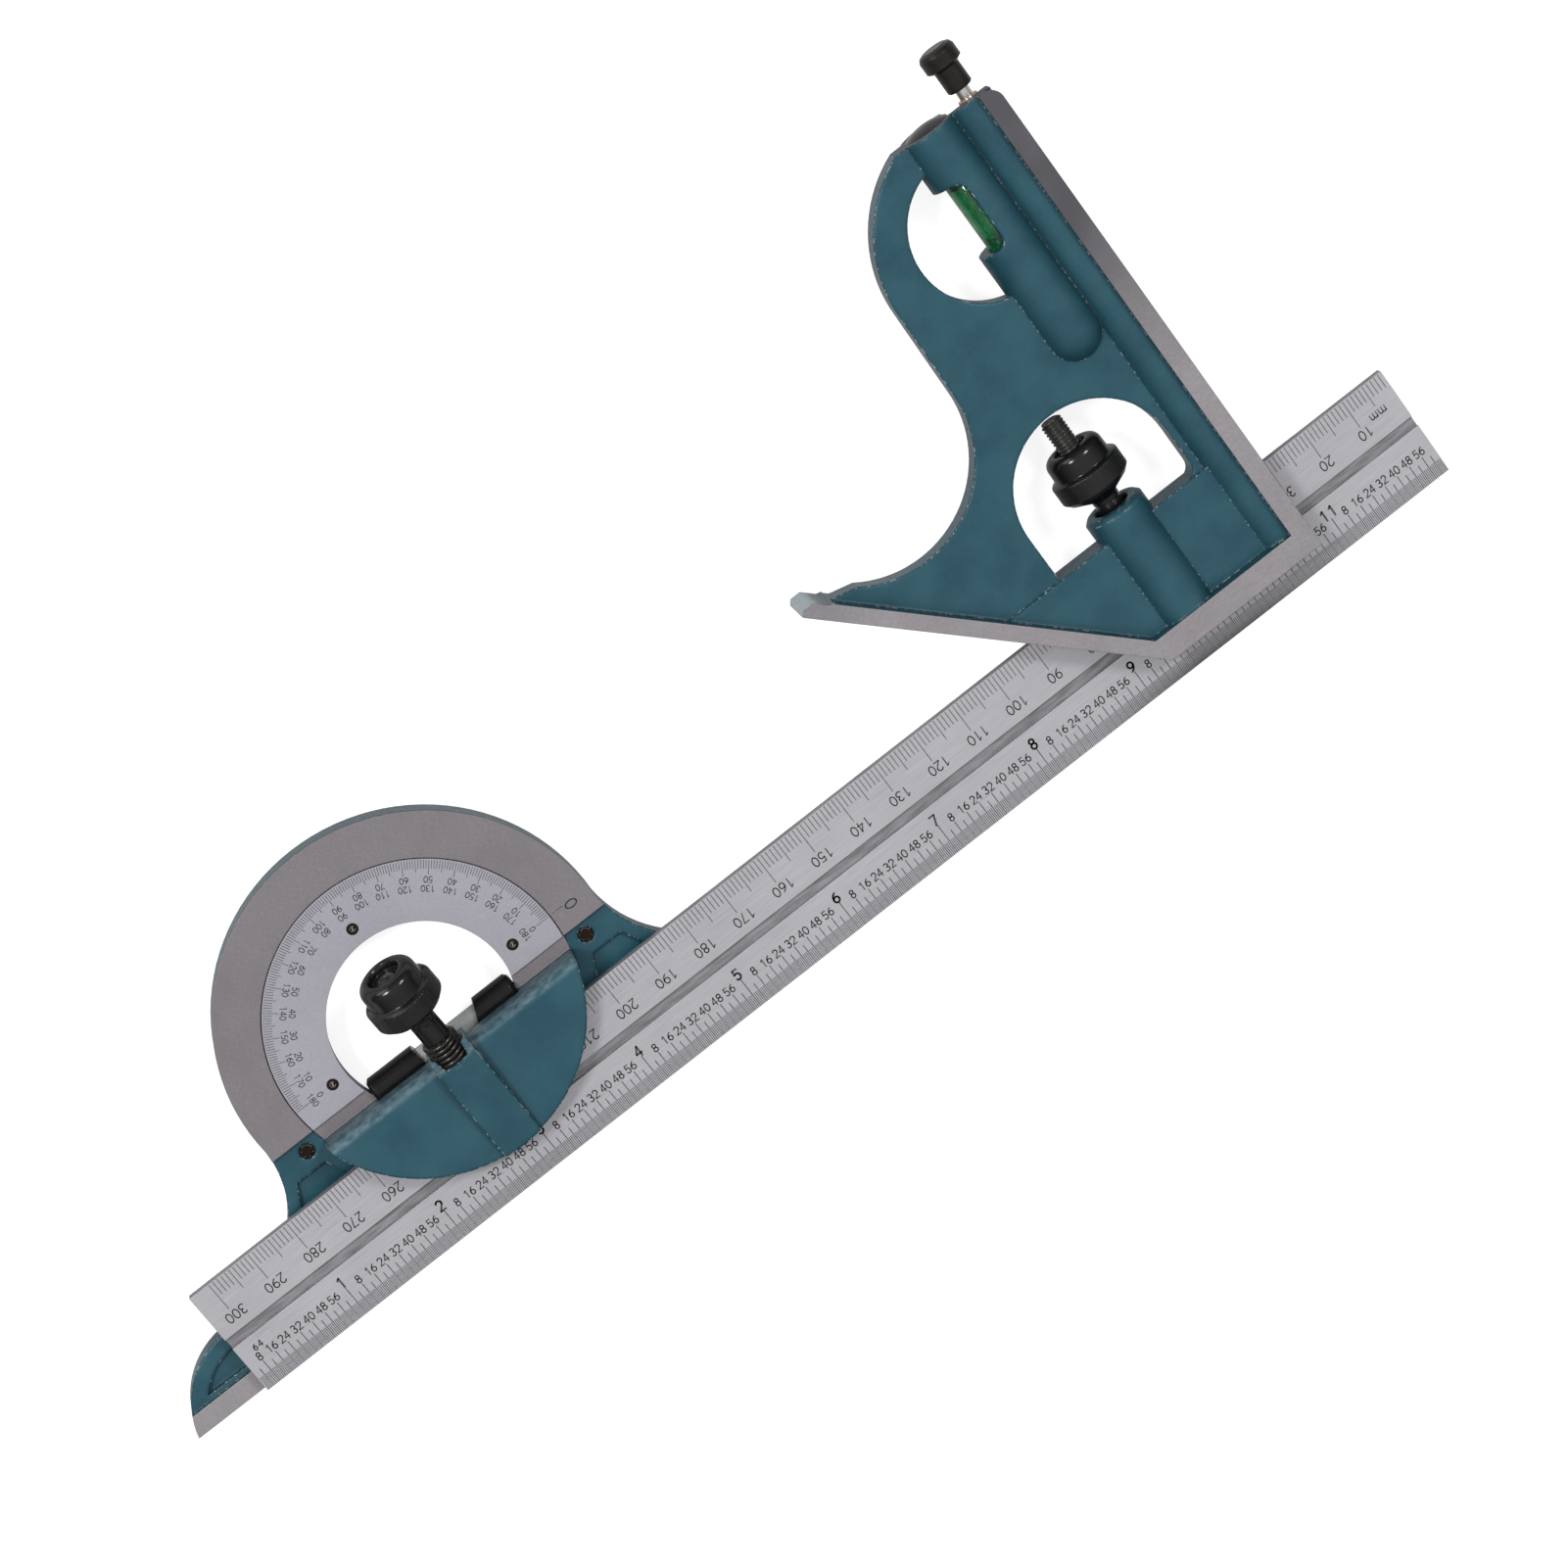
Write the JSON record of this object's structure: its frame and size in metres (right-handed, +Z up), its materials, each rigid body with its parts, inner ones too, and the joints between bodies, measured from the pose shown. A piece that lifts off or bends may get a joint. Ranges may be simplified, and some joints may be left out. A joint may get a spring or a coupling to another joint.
{
  "type": "combination set",
  "caption": "Steel rule with a sliding square head and a bevel protractor head, each held by a hooked bolt and a knurled nut, with spirit levels and a scriber.",
  "frame": {"origin": "middle of the bounding box on the resting plane, under the backs of both heads", "axes": "+X along the rule towards its zero end, +Y from the rule towards the heads, +Z up from the resting plane to the graduated faces"},
  "size_m": [0.3224, 0.1335, 0.0244],
  "materials": {
    "rule_steel": "satin",
    "head_enamel": "wrinkled enamel",
    "level_fluid": "clear",
    "blackened_steel": "black oxide",
    "scriber_steel": "polished",
    "bush_brass": "turned",
    "bolt_steel": "turned",
    "spring_steel": "drawn wire",
    "dial_steel": "satin"
  },
  "bodies": {
    "blade": {"blade": "rule_steel"},
    "square_head": {"square_head": "head_enamel", "square_vial": "level_fluid", "vial_plug": "blackened_steel", "scriber_bush": "bush_brass", "square_clamp_spring": "spring_steel"},
    "scriber": {"scriber_needle": "scriber_steel", "scriber_knob": "blackened_steel"},
    "square_bolt": {"square_clamp_bolt": "bolt_steel"},
    "square_nut": {"square_clamp_nut": "blackened_steel"},
    "turret": {"protractor_turret": "head_enamel", "dial_plate": "dial_steel", "dial_screws": "blackened_steel", "level_tube": "blackened_steel", "level_vial": "level_fluid", "level_plugs": "blackened_steel", "turret_clamp_spring": "spring_steel"},
    "turret_bolt": {"turret_clamp_bolt": "bolt_steel"},
    "turret_nut": {"turret_clamp_nut": "blackened_steel"},
    "protractor": {"protractor_body": "head_enamel"},
    "left_lock": {"lock_screw_left": "blackened_steel"},
    "right_lock": {"lock_screw_right": "blackened_steel"}
  },
  "joints": [
    {"name": "square_slide", "type": "slide", "parent": "blade", "child": "square_head", "axis": [1, 0, 0], "range_m": [-0.005, 0.0309]},
    {"name": "scriber_pull", "type": "slide", "parent": "square_head", "child": "scriber", "axis": [0, 1, 0], "range_m": [0, 0.055]},
    {"name": "square_nut_turn", "type": "hinge", "parent": "square_head", "child": "square_nut", "pos_m": [0.10118, -0.02715, 0.007], "axis": [0, 1, 0], "range_deg": [0, 252]},
    {"name": "square_bolt_draw", "type": "slide", "parent": "square_head", "child": "square_bolt", "axis": [0, 1, 0], "range_m": [-0.00071, 0]},
    {"name": "turret_slide", "type": "slide", "parent": "blade", "child": "turret", "axis": [1, 0, 0], "range_m": [-0.04, 0.005]},
    {"name": "protractor_turn", "type": "hinge", "parent": "turret", "child": "protractor", "pos_m": [-0.07118, -0.02482, 0.003], "axis": [0, 0, 1], "range_deg": [0, 180]},
    {"name": "turret_nut_turn", "type": "hinge", "parent": "turret", "child": "turret_nut", "pos_m": [-0.07118, -0.01877, 0.0151], "axis": [0, 0.9744, 0.225], "range_deg": [0, 252]},
    {"name": "turret_bolt_draw", "type": "slide", "parent": "turret", "child": "turret_bolt", "axis": [0, 0.9744, 0.225], "range_m": [-0.00071, 0]},
    {"name": "left_lock_turn", "type": "hinge", "parent": "protractor", "child": "left_lock", "pos_m": [-0.10677, -0.03282, 0.003], "axis": [0, 0, 1], "range_deg": [-90, 90]},
    {"name": "right_lock_turn", "type": "hinge", "parent": "protractor", "child": "right_lock", "pos_m": [-0.03558, -0.03282, 0.003], "axis": [0, 0, 1], "range_deg": [-90, 90]}
  ],
  "couplings": [
    {"joint": "square_bolt_draw", "follows": "square_nut_turn", "m_per_rad": -0.00015915},
    {"joint": "turret_bolt_draw", "follows": "turret_nut_turn", "m_per_rad": -0.00015915}
  ]
}
